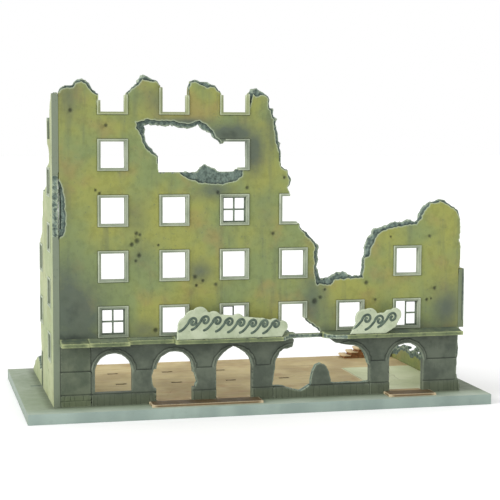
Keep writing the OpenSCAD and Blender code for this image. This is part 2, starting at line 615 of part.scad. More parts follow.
// ---- what is drawn ----
base_board();
floor_panel();
yard_slab();
door_step_left();
door_step_right();
corner_pier();
arcade_left();
parapet_wall();
arcade_right();
canopy_slab_1();
canopy_slab_2();
canopy_slab_3();
canopy_slab_4();
canopy_slab_5();
front_wall();
side_wall_left();
side_wall_right();
sign_left();
sign_right();
sash(2, 3);  // sash_whole_23
sash(4, 1);  // sash_whole_41
sash(4, 3, true, -10, -0.45, 0.45, 10);  // sash_pane_43
sash(4, 6, true, -0.45, -10, 10, 10);  // sash_half_46
stair_block();
stair_treads();
canopy_rubble();
wall_top_rubble();
for (w = whole_windows) window_frame(w[0], w[1]);
for (i = [0 : len(broken_windows) - 1]) {
    w = broken_windows[i];
    broken_frame(w[0], w[1], broken_shapes[i]);
}
for (i = [0 : len(side_windows) - 1])
    side_frame(side_windows[i]);
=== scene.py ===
"""Looks of the ruined town building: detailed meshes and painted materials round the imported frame.

Lengths are in millimetres up to the point where a mesh is made, and angles in degrees.
"""

import math

import bmesh
import bpy
import numpy as np
from mathutils import Matrix, Vector, kdtree, noise
from mathutils.geometry import delaunay_2d_cdt


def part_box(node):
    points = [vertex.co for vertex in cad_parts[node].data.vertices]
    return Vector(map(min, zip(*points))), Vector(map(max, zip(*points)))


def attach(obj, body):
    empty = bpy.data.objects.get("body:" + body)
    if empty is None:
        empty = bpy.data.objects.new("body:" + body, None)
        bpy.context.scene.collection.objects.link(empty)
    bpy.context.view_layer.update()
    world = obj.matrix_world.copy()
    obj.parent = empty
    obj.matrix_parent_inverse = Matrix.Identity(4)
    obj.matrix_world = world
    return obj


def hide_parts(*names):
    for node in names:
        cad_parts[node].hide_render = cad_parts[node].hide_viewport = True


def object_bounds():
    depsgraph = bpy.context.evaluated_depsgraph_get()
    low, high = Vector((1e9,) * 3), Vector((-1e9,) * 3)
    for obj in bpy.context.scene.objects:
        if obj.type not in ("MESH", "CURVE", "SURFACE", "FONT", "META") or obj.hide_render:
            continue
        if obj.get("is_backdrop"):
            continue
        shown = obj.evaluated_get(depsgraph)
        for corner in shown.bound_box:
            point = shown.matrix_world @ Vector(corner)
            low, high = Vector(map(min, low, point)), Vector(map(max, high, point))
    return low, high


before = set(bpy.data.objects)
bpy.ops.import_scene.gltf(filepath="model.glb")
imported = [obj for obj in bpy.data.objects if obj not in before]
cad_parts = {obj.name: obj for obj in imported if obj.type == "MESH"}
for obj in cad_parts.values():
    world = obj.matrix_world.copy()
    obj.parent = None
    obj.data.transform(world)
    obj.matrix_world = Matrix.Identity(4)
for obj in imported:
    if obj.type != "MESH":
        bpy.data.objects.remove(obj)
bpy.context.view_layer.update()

MM = 0.001
scene = bpy.context.scene
AXIS = {"x": 0, "y": 1, "z": 2}
FAR = 1e9  # further than any part of the object
EDGE_STEP = 0.9  # the distance between points along outlines and cuts
TOUCH = 0.06  # points nearer to an outline than this are on it
THINNEST = 0.35  # a front never comes nearer to its back than this


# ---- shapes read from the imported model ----

def node_mesh(name):
    """Corner points of a CAD node with doubled points joined, and its triangles."""
    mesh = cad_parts[name].data
    mesh.calc_loop_triangles()
    points = np.empty(len(mesh.vertices) * 3)
    mesh.vertices.foreach_get("co", points)
    corners = np.empty(len(mesh.loop_triangles) * 3, dtype=int)
    mesh.loop_triangles.foreach_get("vertices", corners)
    points = np.round(points.reshape(-1, 3) / MM, 3)
    points, index = np.unique(points, axis=0, return_inverse=True)
    return points, index.reshape(-1)[corners].reshape(-1, 3)


def chains(directed):
    """Closed chains made of directed edges."""
    following = {}
    for a, b in directed:
        following.setdefault(a, []).append(b)
    found = []
    while following:
        start = next(iter(following))
        chain, here = [], start
        while here in following:
            chain.append(here)
            step = following[here].pop()
            if not following[here]:
                del following[here]
            here = step
        found.append(chain)
    return found


def open_edges(triangles):
    """Directed edges that only one triangle has."""
    edges = set()
    for a, b, c in triangles:
        for edge in ((a, b), (b, c), (c, a)):
            if edge[::-1] in edges:
                edges.remove(edge[::-1])
            else:
                edges.add(edge)
    return edges


def outlines(name, axis, level):
    """Outlines of the flat faces that a CAD node has at a level of an axis, as 2-D points."""
    points, triangles = node_mesh(name)
    k = AXIS[axis]
    flat = np.all(np.abs(points[triangles][:, :, k] - level) < 0.02, axis=1)
    keep = [i for i in range(3) if i != k]
    loops = chains(open_edges(triangles[flat].tolist()))
    return [straightened(points[loop][:, keep]) for loop in loops if len(loop) > 2]


def straightened(loop):
    """The outline without the points that lie on a straight stretch."""
    before, after = np.roll(loop, 1, axis=0), np.roll(loop, -1, axis=0)
    a, b = loop - before, after - loop
    turn = np.abs(a[:, 0] * b[:, 1] - a[:, 1] * b[:, 0])
    return loop[turn > 1e-3 * np.hypot(*a.T) * np.hypot(*b.T)]


def box_mm(name):
    """Lowest and highest corner of a CAD node."""
    low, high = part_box(name)
    return np.array(low) / MM, np.array(high) / MM


# ---- tools for outlines and points in a plane ----

def fractal(points, size, octaves=3, seed=0.0):
    """Noise from about -1 to 1 at each point, with lumps of that size."""
    padded = np.zeros((len(points), 3))
    padded[:, :points.shape[1]] = points / size
    padded += (seed, -0.7 * seed, 1.3 * seed)
    return np.array([noise.fractal(p, 0.9, 2.1, octaves) for p in padded])


def chips(points, size, seed=0.0):
    """Sharp-edged facets from 0 to about 1 at each point, like broken stone."""
    padded = np.zeros((len(points), 3))
    padded[:, :points.shape[1]] = points / size
    padded += (seed, seed, -seed)
    return np.array([noise.voronoi(p)[0][0] for p in padded])


def inside(points, loops):
    """Whether each point is inside the outlines, counting holes as outside."""
    x, y = points[:, 0], points[:, 1]
    result = np.zeros(len(points), dtype=bool)
    for loop in loops:
        for (x0, y0), (x1, y1) in zip(loop, np.roll(loop, -1, axis=0)):
            if y0 == y1:
                continue
            crosses = (y0 > y) != (y1 > y)
            result ^= crosses & (x < x0 + (y - y0) * (x1 - x0) / (y1 - y0))
    return result


def stepped(line, step, closed=True):
    """The line with extra points, so that none are further apart than step."""
    ends = np.roll(line, -1, axis=0) if closed else line[1:]
    out = []
    for a, b in zip(line, ends):
        count = max(1, math.ceil(math.hypot(*(b - a)) / step))
        out.extend(a + (b - a) * k / count for k in range(count))
    if not closed:
        out.append(line[-1])
    return np.array(out)


class Near:
    """Distance from any point to the nearest of some lines."""

    def __init__(self, lines, closed=True, step=0.25):
        parts = [stepped(np.asarray(line, float), step, closed) for line in lines]
        points = np.concatenate(parts) if parts else np.full((1, 2), 1e6)
        self.tree = kdtree.KDTree(len(points))
        for i, p in enumerate(points):
            self.tree.insert((p[0], p[1], 0), i)
        self.tree.balance()

    def __call__(self, points):
        return np.array([self.tree.find((p[0], p[1], 0))[2] for p in points])


def ragged(loop, amount=0.45, seed=3.0, straight=True):
    """The outline in short steps, with its worn edges made uneven. Level and upright edges stay straight."""
    size = len(loop)
    runs = np.roll(loop, -1, axis=0) - loop
    small, large = np.min(np.abs(runs), axis=1), np.max(np.abs(runs), axis=1)
    kept = ((small < 0.02) | ((small < 0.03 * large) & (large > 15))) & straight
    points, free = [], []
    for i in range(size):
        count = max(1, round(math.hypot(*runs[i]) / (EDGE_STEP * 2.5 if kept[i] else EDGE_STEP)))
        for k in range(count):
            points.append(loop[i] + runs[i] * k / count)
            free.append(not kept[i] and (k > 0 or not kept[i - 1]))
    points, free = np.array(points), np.array(free, float)
    shift = np.stack([fractal(points, 3.2, 3, seed), fractal(points, 3.2, 3, seed + 40)], axis=1)
    return points + shift * amount * free[:, None] * 2, free > 0


def beside(line, distance, closed=True):
    """The line moved sideways by a small distance, to the right of the way it runs."""
    along = np.roll(line, -1, axis=0) - np.roll(line, 1, axis=0) if closed else np.gradient(line, axis=0)
    along /= np.maximum(np.hypot(*along.T), 1e-9)[:, None]
    return line + np.stack([along[:, 1], -along[:, 0]], axis=1) * distance


def scattered(loops, near, rings, seed):
    """Points inside the outlines: rings of (spacing, reach), dense near the lines and wider apart away from them."""
    rng = np.random.default_rng(seed)
    low = np.min([loop.min(axis=0) for loop in loops], axis=0)
    high = np.max([loop.max(axis=0) for loop in loops], axis=0)
    found, reached = [], None
    for spacing, reach in rings:
        across = np.arange(low[0], high[0], spacing)
        up = np.arange(low[1], high[1], spacing * 0.87)
        grid = np.stack(np.meshgrid(across, up), axis=-1)
        grid[1::2, :, 0] += spacing / 2
        grid = grid.reshape(-1, 2)
        grid += rng.uniform(-0.2, 0.2, grid.shape) * spacing
        away = near(grid)
        nearest = spacing * 0.55 if reached is None else reached
        chosen = (away > nearest) & (away <= reach)
        found.append(grid[chosen])
        reached = reach
    points = np.concatenate(found)
    return points[inside(points, loops)]


def triangulated(loops, lines, open_lines, extra):
    """A triangle net over the outlines that keeps every given line. Returns its points and triangles."""
    points, edges = [], []
    for line, closed in [(l, True) for l in loops + lines] + [(l, False) for l in open_lines]:
        first, count = len(points), len(line)
        points.extend(line)
        edges.extend((first + i, first + i + 1) for i in range(count - 1))
        if closed:
            edges.append((first + count - 1, first))
    points.extend(extra)
    net = delaunay_2d_cdt([Vector(p) for p in points], edges, [], 0, 1e-4)
    points, triangles = np.array([tuple(p) for p in net[0]]), np.array(net[2])
    used = inside(points[triangles].mean(axis=1), loops)
    triangles = triangles[used]
    kept, index = np.unique(triangles, return_inverse=True)
    return points[kept], index.reshape(-1, 3)


# ---- meshes ----

def shown(node, mesh, materials, crease):
    """Puts a mesh in the scene as the piece that stands for a CAD node, smooth up to an angle of crease degrees."""
    mesh.polygons.foreach_set("use_smooth", np.ones(len(mesh.polygons), dtype=bool))
    mesh.set_sharp_from_angle(angle=math.radians(crease))
    for material in materials:
        mesh.materials.append(material)
    mesh.update()
    piece = bpy.data.objects.new(mesh.name, mesh)
    scene.collection.objects.link(piece)
    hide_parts(node)
    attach(piece, "root")


def finished(node, points, faces, zones, paints, materials, crease=38):
    """Makes the piece that stands for one CAD node, inside its box: its mesh, paint masks and materials."""
    points = np.clip(points, *box_mm(node))
    mesh = bpy.data.meshes.new(node + "_detailed")
    mesh.from_pydata((np.asarray(points) * MM).tolist(), [], faces)
    bm = bmesh.new()
    bm.from_mesh(mesh)
    bmesh.ops.recalc_face_normals(bm, faces=bm.faces)
    bm.to_mesh(mesh)
    bm.free()
    mesh.polygons.foreach_set("material_index", np.asarray(zones, dtype=np.int32))
    for mask, values in paints.items():
        mesh.attributes.new(mask, "FLOAT", "POINT").data.foreach_set("value", np.asarray(values, np.float32))
    shown(node, mesh, materials, crease)


def heights(level, points):
    """A level given as a number or as a function of 2-D points, at each point."""
    return np.asarray(level(points), float) if callable(level) else np.full(len(points), float(level))


def wavy(level, rise, lump, seed, drop=0.0):
    """A level with low waves in it, as a function of 2-D points."""
    return lambda points: level + rise * fractal(points, lump, 3, seed) - drop


def lifted(points, depth, axis):
    """2-D points with their depth put in as the coordinate on an axis."""
    return np.insert(points, AXIS[axis], depth, axis=1)


def outside_line(loop, loops, distance):
    """The outline moved by a small distance to the empty side of the shape it bounds."""
    moved = beside(loop, distance)
    return moved if inside(moved, loops).mean() < 0.5 else beside(loop, -distance)


def pit_points(pits):
    """Points on rings inside each pit (u, v, radius, depth)."""
    found = []
    for u, v, radius, _ in pits:
        found.append((u, v))
        for share, count in ((0.35, 6), (0.65, 9), (0.9, 12), (1.15, 14)):
            for k in range(count):
                turn = 2 * math.pi * (k + share) / count
                uneven = radius * share * (1 + 0.18 * math.sin(3 * turn + u))
                found.append((u + uneven * math.cos(turn), v + uneven * math.sin(turn)))
    return np.array(found).reshape(-1, 2)


def relief(node, axis, out, loops, base, back, materials, layers=(), cuts=(), pits=(), soot=None,
           wear=0.45, straight=True, seed=3.0, rings=((0.8, 2.2), (2.0, 6.0), (5.0, FAR)), rows=4,
           base_material=0, edge=0.0, masks=None, hole_shade=0.0, back_zone=None):
    """A thick piece with a modelled front, given by outlines in a plane.

    base and back give the coordinate on the axis, as a number or at 2-D points. out is the way the front faces on it.
    A layer is (outlines, level, material). A cut is (line, half width, depth), and stands proud
    where its depth is negative. A pit is (u, v, radius, depth).
    """
    worn_loops = [ragged(loop, amount=wear, seed=seed, straight=straight) for loop in loops]
    edges = [points for points, _ in worn_loops]
    layered = []
    for shape, level, material in layers:
        uneven = [ragged(l, amount=wear, seed=seed, straight=straight) for l in shape]
        torn = np.concatenate([np.empty((0, 2))] + [points[flags] for points, flags in uneven])
        layered.append(([points for points, _ in uneven], torn, level, material))
    lines = [l for shape, *_ in layered for l in shape]
    lines += [outside_line(l, shape, 0.25) for shape, *_ in layered for l in shape]
    runs = []
    for line, half, _ in cuts:
        line = stepped(np.asarray(line, float), EDGE_STEP, False)
        runs += [line, beside(line, half, False), beside(line, -half, False)]
    dots = pit_points(pits)
    near = Near(edges + lines + runs, closed=False, step=0.5)
    extra = scattered(edges, near, rings, int(seed))
    if len(dots):
        clear = np.ones(len(extra), dtype=bool)
        for u, v, radius, _ in pits:
            clear &= np.hypot(extra[:, 0] - u, extra[:, 1] - v) > radius * 1.3
        extra = np.concatenate([extra[clear], dots])
    points, triangles = triangulated(edges, lines, runs, extra)
    size = len(points)

    front, on_layer = heights(base, points), np.full(size, base_material)
    shade, rim = np.zeros(size), np.zeros(size)
    for shape, torn, level, material in layered:
        gap = Near(shape)(points)
        there = inside(points, shape) | (gap < TOUCH)
        front = np.where(there, heights(level, points), front)
        on_layer = np.where(there, material, on_layer)
        shade = np.where(there, 0, np.maximum(shade, np.clip(1.1 - gap / 1.1, 0, 1)))
        if len(torn):
            rim = np.where(there, np.clip(1.3 - Near([torn], closed=False, step=FAR)(points) / 0.7, 0, 1), rim)
    for line, half, depth in cuts:
        share = np.clip(1 - Near([line], closed=False)(points) / half, 0, 1)
        front -= out * depth * share
        shade = np.maximum(shade, share if depth > 0 else 0)
    for u, v, radius, depth in pits:
        away = np.hypot(points[:, 0] - u, points[:, 1] - v) / radius
        front -= out * depth * np.clip(1 - away ** 2, -0.12, 1) * (away < 1.25)
        shade = np.maximum(shade, 0.85 * np.clip(1.5 - 1.2 * away, 0, 1))
    front -= out * edge * (Near(edges)(points) < TOUCH)
    behind = heights(back, points)
    limit = behind + out * THINNEST
    front = np.maximum(front, limit) if out > 0 else np.minimum(front, limit)

    where = [lifted(points, front, axis), lifted(points, behind, axis)]
    faces = triangles.tolist() + (triangles[:, ::-1] + size).tolist()
    zones = list(np.max(on_layer[triangles], axis=1))
    zones += list(back_zone(points[triangles].mean(axis=1))) if back_zone else [0] * len(triangles)
    shades, rims = [shade, np.zeros(size)], [rim, np.zeros(size)]
    free = np.concatenate([points_[flags] for points_, flags in worn_loops])
    worn_near = Near([free], closed=False, step=FAR) if len(free) else None
    broken = 1 if len(materials) > 1 else 0
    total = 2 * size
    rims_of = chains(open_edges(triangles.tolist()))
    longest = max(rims_of, key=len)
    for chain in rims_of:
        flat = points[chain]
        depth_shade = hole_shade if chain is not longest else 0
        shade[chain] = np.maximum(shade[chain], depth_shade)
        sideways = beside(flat, 1.0) - flat
        worn = np.clip(1.0 - worn_near(flat) / 0.9, 0, 1) if worn_near else np.zeros(len(flat))
        ring_rows = [np.array(chain)]
        for k in range(1, rows):
            share = k / rows
            depth = front[chain] * (1 - share) + behind[chain] * share
            there = lifted(flat, depth, axis)
            bulge = fractal(there, 1.7, 3, seed + 9) * 1.6 * wear * worn * math.sin(math.pi * share)
            where.append(lifted(flat + sideways * bulge[:, None], depth, axis))
            ring_rows.append(np.arange(total, total + len(chain)))
            total += len(chain)
            shades.append(np.full(len(chain), depth_shade))
            rims.append(np.zeros(len(chain)))
        ring_rows.append(np.array(chain) + size)
        for near_row, far_row in zip(ring_rows, ring_rows[1:]):
            for i in range(len(chain)):
                j = (i + 1) % len(chain)
                faces.append([int(near_row[i]), int(far_row[i]), int(far_row[j]), int(near_row[j])])
                zones.append(broken if worn[i] > 0.4 and worn[j] > 0.4 else 0)
    where = np.concatenate(where)
    paints = {"shade": np.concatenate(shades), "rim": np.concatenate(rims),
              "soot": soot(where) if soot else np.zeros(len(where))}
    for mask, values in (masks(points) if masks else {}).items():
        paints[mask] = np.concatenate([values, np.zeros(len(where) - size)])
    finished(node, where, faces, zones, paints, materials)


# ---- painted materials ----

MIX_A, MIX_B, MIX_RESULT = 6, 7, 2  # the colour sockets of a Mix node


def colour(red, green, blue):
    """A screen colour, 0 to 255, as the linear colour that a shader takes."""
    def linear(c):
        c /= 255
        return c / 12.92 if c <= 0.04045 else ((c + 0.055) / 1.055) ** 2.4
    return (linear(red), linear(green), linear(blue), 1.0)


class Paint:
    """One painted material, built node by node, with the tint so far."""

    def __init__(self, name, roughness=0.75, specular=0.25):
        self.material = bpy.data.materials.new(name)
        self.material.use_nodes = True
        self.tree = self.material.node_tree
        self.shader = self.tree.nodes["Principled BSDF"]
        self.shader.inputs["Roughness"].default_value = roughness
        self.shader.inputs["Specular IOR Level"].default_value = specular
        self.place = self.node("TexCoord").outputs["Object"]
        self.height = None
        self.tint = None

    def node(self, kind, **inputs):
        """A new shader node. Inputs are values or sockets."""
        node = self.tree.nodes.new("ShaderNode" + kind)
        for name, value in inputs.items():
            self.join(value, node.inputs[name])
        return node

    def join(self, value, socket):
        if isinstance(value, bpy.types.NodeSocket):
            self.tree.links.new(value, socket)
        else:
            socket.default_value = value

    def noise(self, lump, detail=4, rough=0.55, stretch=(1, 1, 1), shift=0.0):
        """Noise with lumps of that size in millimetres."""
        place = (shift, shift * 0.7, shift * 0.3)
        mapping = self.node("Mapping", Vector=self.place, Scale=stretch, Location=place)
        return self.node("TexNoise", Vector=mapping.outputs["Vector"], Scale=1 / (lump * MM), Detail=detail,
                         Roughness=rough).outputs["Fac"]

    def cells(self, lump):
        """Cells of that size in millimetres."""
        return self.node("TexVoronoi", Vector=self.place, Scale=1 / (lump * MM)).outputs["Distance"]

    def band(self, value, low, high, out_low=0.0, out_high=1.0):
        """The value stretched so that low and high become the two outputs."""
        limits = {"From Min": low, "From Max": high, "To Min": out_low, "To Max": out_high}
        node = self.node("MapRange", Value=value, **limits)
        node.interpolation_type = "SMOOTHSTEP"
        return node.outputs["Result"]

    def maths(self, operation, a, b):
        node = self.node("Math")
        node.operation = operation
        self.join(a, node.inputs[0])
        self.join(b, node.inputs[1])
        return node.outputs["Value"]

    def mix(self, share, a, b, kind="MIX"):
        node = self.node("Mix")
        node.data_type = "RGBA"
        node.blend_type = kind
        self.join(share, node.inputs["Factor"])
        self.join(a, node.inputs[MIX_A])
        self.join(b, node.inputs[MIX_B])
        return node.outputs[MIX_RESULT]

    def over(self, share, tint):
        """Paints over the tint so far, by that share."""
        self.tint = self.mix(share, self.tint, tint)

    def mottled(self, lump, low, dark, light, detail=4, rough=0.6, stretch=(1, 1, 1), shift=0.0):
        """Two tints in lumps of that size: dark where the noise is under low, light where it is over 1 - low."""
        return self.mix(self.band(self.noise(lump, detail, rough, stretch, shift), low, 1 - low), dark, light)

    def stain(self, lump, low, high, share, tint, detail=4, rough=0.6, stretch=(1, 1, 1), shift=0.0):
        """Paints a tint over in patches where the noise is over low, up to a share where it is over high."""
        self.over(self.band(self.noise(lump, detail, rough, stretch, shift), low, high, 0, share), tint)

    def mask(self, name, share=1.0):
        """A mask painted on the mesh, times a share."""
        node = self.node("Attribute")
        node.attribute_name = name
        return self.maths("MULTIPLY", node.outputs["Fac"], share) if share != 1 else node.outputs["Fac"]

    def raised(self, low, high, share):
        """The share on sharp edges that stand proud."""
        return self.band(self.node("NewGeometry").outputs["Pointiness"], low, high, 0, share)

    def facing(self, axis):
        """How much the surface faces along an axis."""
        normal = self.node("NewGeometry").outputs["Normal"]
        return self.node("SeparateXYZ", Vector=normal).outputs[axis.upper()]

    def along(self, axis):
        """The place along an axis, in metres."""
        return self.node("SeparateXYZ", Vector=self.place).outputs[axis.upper()]

    def zone(self, first, *others):
        """1 where the place is past every (axis, low, high), in metres, and 0 before them."""
        axis, low, high = first
        here = self.band(self.along(axis), low, high)
        return self.maths("MULTIPLY", here, self.zone(*others)) if others else here

    def bump(self, height, depth, strength):
        """Raises the surface by the height, up to depth millimetres."""
        node = self.node("Bump", Strength=strength, Distance=depth * MM, Height=height)
        if self.height:
            self.join(self.height, node.inputs["Normal"])
        self.height = node.outputs["Normal"]

    def grain(self, lump, depth, strength, detail=4, rough=0.7, stretch=(1, 1, 1), shift=0.0):
        """Raises the surface in lumps of that size."""
        self.bump(self.noise(lump, detail, rough, stretch, shift), depth, strength)

    def finish(self, lump=None, smooth=0.6, rough=0.82):
        """Joins it all up, with a roughness that changes in lumps of that size. Returns the material."""
        self.join(self.tint, self.shader.inputs["Base Color"])
        if lump:
            shine = self.band(self.noise(lump, 4, 0.6), 0.3, 0.7, smooth, rough)
            self.join(shine, self.shader.inputs["Roughness"])
        if self.height:
            self.join(self.height, self.shader.inputs["Normal"])
        return self.material


GREEN, OLIVE, OCHRE = colour(121, 134, 86), colour(141, 144, 76), colour(142, 130, 80)
# The darker soot colour serves heavy soot and grime, and also painted shade under the canopy and along its top.
SOOT, DARK_SOOT_AND_SHADE = colour(80, 90, 80), colour(50, 58, 52)
PALE_EDGE, DEEP = colour(172, 184, 158), colour(34, 40, 34)
BLACK, WHITE = (0, 0, 0, 1), (1, 1, 1, 1)


def plaster(name, tints, drips=0.35, end_face_tint_and_shade=None):
    """Painted plaster in drifting tints, with soot, pits and light broken edges. End faces take a darker grey-green
    that is partly painted shade, and the soot mask carries painted shade above the canopy.
    """
    p = Paint(name, 0.72, 0.3)
    p.tint = p.mottled(42, 0.36, tints[0], tints[1], 3, 0.5)
    p.stain(30, 0.5, 0.72, 0.75, tints[2], 3, 0.55, shift=3.1)
    p.stain(9, 0.5, 0.75, drips, SOOT, stretch=(1, 1, 0.12), shift=5.2)
    dabs = p.band(p.noise(5, 5, 0.65, shift=1.7), 0.3, 0.7, 0.86, 1.1)
    p.tint = p.mix(1.0, p.tint, p.mix(dabs, BLACK, WHITE), "MULTIPLY")
    # End faces turned to -Y: a darker grey-green, partly their own paint and partly painted shade.
    if end_face_tint_and_shade:
        p.over(p.band(p.facing("y"), -0.9, -0.6, 0.95, 0), end_face_tint_and_shade)
    # The soot mask is real soot, plus painted shade in a band just above the canopy; where it runs past 1 it takes the
    # darker colour.
    patchy = p.maths("MULTIPLY", p.mask("soot"), p.band(p.noise(16, 5, 0.6, shift=7.7), 0.25, 0.6, 0.75, 1.12))
    p.over(p.maths("MINIMUM", patchy, 0.92), SOOT)
    p.over(p.band(patchy, 1.0, 1.7, 0, 0.8), DARK_SOOT_AND_SHADE)
    p.stain(2.2, 0.62, 0.72, 0.35, SOOT, 3, 0.6, shift=9.9)
    p.over(p.mask("shade", 0.85), DEEP)
    p.over(p.mask("rim", 0.7), PALE_EDGE)
    p.grain(1.3, 0.12, 0.6, 5, 0.7)
    p.grain(7, 0.35, 0.5, 3, 0.5, shift=2.3)
    return p.finish(6, 0.62, 0.85)


def broken_stone(name, dark, light):
    """Broken rubble and mortar: dark in the hollows, drybrushed light on the edges."""
    p = Paint(name, 0.85, 0.2)
    p.tint = p.mottled(3.4, 0.32, dark, light, 5, 0.65)
    p.over(p.band(p.cells(2.6), 0.05, 0.55, 0.45, 0), DEEP)
    p.over(p.raised(0.5, 0.56, 0.6), PALE_EDGE)
    p.over(p.mask("shade", 0.7), DEEP)
    p.bump(p.cells(1.8), 0.5, 0.8)
    p.grain(0.9, 0.2, 0.7)
    return p.finish()


def cast_stone(name, dark, light, low):
    """Dark cast masonry, greener towards the ground, with light worn edges."""
    p = Paint(name, 0.7, 0.3)
    p.tint = p.mottled(14, 0.34, dark, light)
    p.over(p.band(p.along("z"), 0.019, 0.013, 0, 0.6), low)
    p.stain(3, 0.55, 0.75, 0.35, DARK_SOOT_AND_SHADE, 5, 0.65, (1, 1, 0.3), 4.4)
    p.over(p.raised(0.505, 0.58, 0.22), PALE_EDGE)
    p.over(p.mask("rim", 0.12), PALE_EDGE)
    p.over(p.mask("shade", 0.9), DEEP)
    p.over(p.mask("joint", 0.75), DEEP)
    p.grain(1.1, 0.14, 0.6, 5, 0.7)
    p.grain(4.5, 0.25, 0.4, 3, 0.5, shift=1.9)
    return p.finish(4, 0.6, 0.82)


PLASTER = plaster("plaster_paint", (GREEN, OLIVE, OCHRE))
# The side walls' front end faces take a darker grey-green, partly their paint and partly painted shade.
SIDE_PLASTER = plaster("side_plaster_paint", (colour(136, 146, 109), colour(149, 155, 120), colour(130, 134, 95)),
                       drips=0.2, end_face_tint_and_shade=colour(115, 125, 107))
END_PLASTER = plaster("end_plaster_paint", (GREEN, OLIVE, OCHRE), end_face_tint_and_shade=colour(106, 116, 92))
CORE = broken_stone("broken_core_paint", colour(72, 86, 80), colour(112, 128, 118))
ARCADE = cast_stone("arcade_paint", colour(75, 83, 72), colour(95, 103, 89), colour(83, 91, 68))
PIER = cast_stone("corner_pier_paint", colour(78, 88, 72), colour(98, 106, 87), colour(94, 104, 74))


def soot_and_shade_of(blobs, foot):
    """A mask of soot and painted shade from soft blobs (u, v, spread u, spread v, strength) and a band (height,
    strength, reach) above a foot.
    """
    def mask(points):
        u, v = points[:, 0], points[:, 2]
        total = np.zeros(len(points))
        for bu, bv, su, sv, strength in blobs:
            total = np.maximum(total, strength * np.exp(-((u - bu) / su) ** 2 - ((v - bv) / sv) ** 2))
        height, strength, reach = foot
        return np.maximum(total, strength * np.clip(1 - (v - height) / reach, 0, 1))
    return mask


# ---- walls ----

WALL_RINGS = ((0.8, 2.6), (1.8, 6.5), (5.0, FAR))
FINE_RINGS = ((0.8, 2.2), (1.8, FAR))
FRONT_Y, CORE_Y, BACK_Y = -73.5, -72.4, -68.5
LEFT_X = -159
PLASTER_T = CORE_Y - FRONT_Y


def wall(name, axis, outer, inner, out, pits, soot, paint, seed, cuts=(), inner_loss=2.2, rings=WALL_RINGS):
    """A wall with its plaster coat. Where the coat is gone, the core slopes away from the broken edge."""
    coat = outlines(name, axis, outer)
    coat_edge = Near([ragged(l, seed=seed)[0] for l in coat])
    inner_loops = outlines(name, axis, inner)
    worn = [ragged(l, seed=seed) for l in inner_loops]
    worn_edge = Near([np.concatenate([points[flags] for points, flags in worn])], closed=False, step=FAR)

    def core(points):
        depth = PLASTER_T + 0.25 + 0.42 * coat_edge(points) + 0.9 * (chips(points, 2.4, seed) - 0.35)
        return outer - out * np.clip(depth, PLASTER_T + 0.1, 4.1)

    def skin(points):
        return outer - out * (0.09 * fractal(points, 11, 3, seed) + 0.1)

    def bare_inside(points):
        return worn_edge(points) < inner_loss * (0.85 + 0.5 * fractal(points, 16, 2, seed + 3))

    def inside_face(points):
        bare = 0.35 + 0.75 * np.clip(chips(points, 2.6, seed + 4) - 0.2, 0, 1)
        return inner + out * np.where(bare_inside(points), bare, 0.08 * fractal(points, 13, 3, seed + 5) + 0.1)

    relief(name, axis, out, inner_loops, core, inside_face, [paint, CORE], [(coat, skin, 0)], cuts, pits,
           soot, seed=seed, base_material=1, rings=rings, back_zone=lambda middles: bare_inside(middles).astype(int))


FRONT_PITS = [
    (-145, 227.5, 1.8, 0.8), (-119, 216.5, 1.6, 0.8), (-127, 169, 1.2, 0.7), (-124, 166.5, 1.3, 0.8),
    (17, 177.5, 1.3, 0.7), (-34.5, 166.5, 1.6, 0.8), (-12, 170, 1.6, 0.7), (-96.5, 136.5, 1.7, 0.8),
    (-94, 135.5, 1.4, 0.7), (-96, 131, 2.3, 0.9), (-100, 128.3, 1.9, 1.1), (-94.5, 120, 1.9, 0.9),
    (-97, 116, 1.3, 0.6), (-80, 127.5, 1.1, 0.7), (-82, 63.5, 2.0, 1.0), (-52, 103, 1.8, 0.7),
    (-46, 100, 1.4, 0.8), (-51, 96.5, 1.3, 0.9), (-36, 97, 1.6, 0.5), (8.5, 135, 1.6, 0.7), (42, 82, 2.6, 1.2),
    (46.5, 85, 1.7, 0.7), (140, 90, 1.7, 0.9), (133.5, 81, 1.4, 0.9), (137, 81.7, 1.0, 0.6), (83.5, 95.5, 1.9, 0.8),
    (135, 131, 1.4, 0.5), (91, 82, 1.2, 0.5), (50, 91, 1.2, 0.6), (103, 131, 1.0, 0.5)]
LEFT_PITS = [(-20, 100, 1.6, 1), (-28, 60, 1.4, 1), (6, 60, 1.2, 0.8), (-62, 150, 1.3, 0.9), (-40, 30, 1.5, 1)]
RIGHT_PITS = [(-66, 70, 1.4, 1), (-50, 30, 1.3, 0.9)]
# Soot on the front wall. The band above the canopy's top (height 58) and the wide blob at u -146 on it are painted
# shade where the canopy meets the wall.
FRONT_SOOT_AND_SHADE = soot_and_shade_of([
    (-144, 76, 23, 29, 1.3), (-150, 84, 16, 34, 1.15), (-146, 58, 25, 11, 1.6), (-92, 120, 10, 12, 0.35),
    (-98, 150, 9, 12, 0.45), (-25, 210, 18, 8, 1.35), (-7, 197, 8, 16, 1.2), (-13, 202, 7, 10, 1.0),
    (-60, 219, 28, 3.5, 0.85), (-38, 168, 13, 6, 0.9), (-48, 107, 9, 8, 0.75), (-92, 64, 12, 8, 0.6),
    (40, 82, 9, 22, 0.7), (150, 74, 14, 20, 0.85), (-84, 235, 12, 12, 0.4), (-145, 235, 9, 14, 0.45),
    (2, 150, 8, 20, 0.2), (6, 215, 6, 18, 0.4), (60, 74, 14, 10, 0.3), (-118, 160, 8, 8, 0.2),
    (-152, 158, 7, 22, 0.6)], (58, 0.6, 12))
COLUMNS = [-114.2 + 46.2 * i for i in range(6)]
ROW_Z = [70.7 + 41.4 * (4 - row) for row in range(5)]
FRAME_W, FRAME_H = 22.6, 23.4
SIDE_FRAME_W, SIDE_FRAME_H = 19, 22
BAND_W, BAND_H = 2.4, 2.0  # how wide the frame's moulding is at its sides, and at its top and bottom
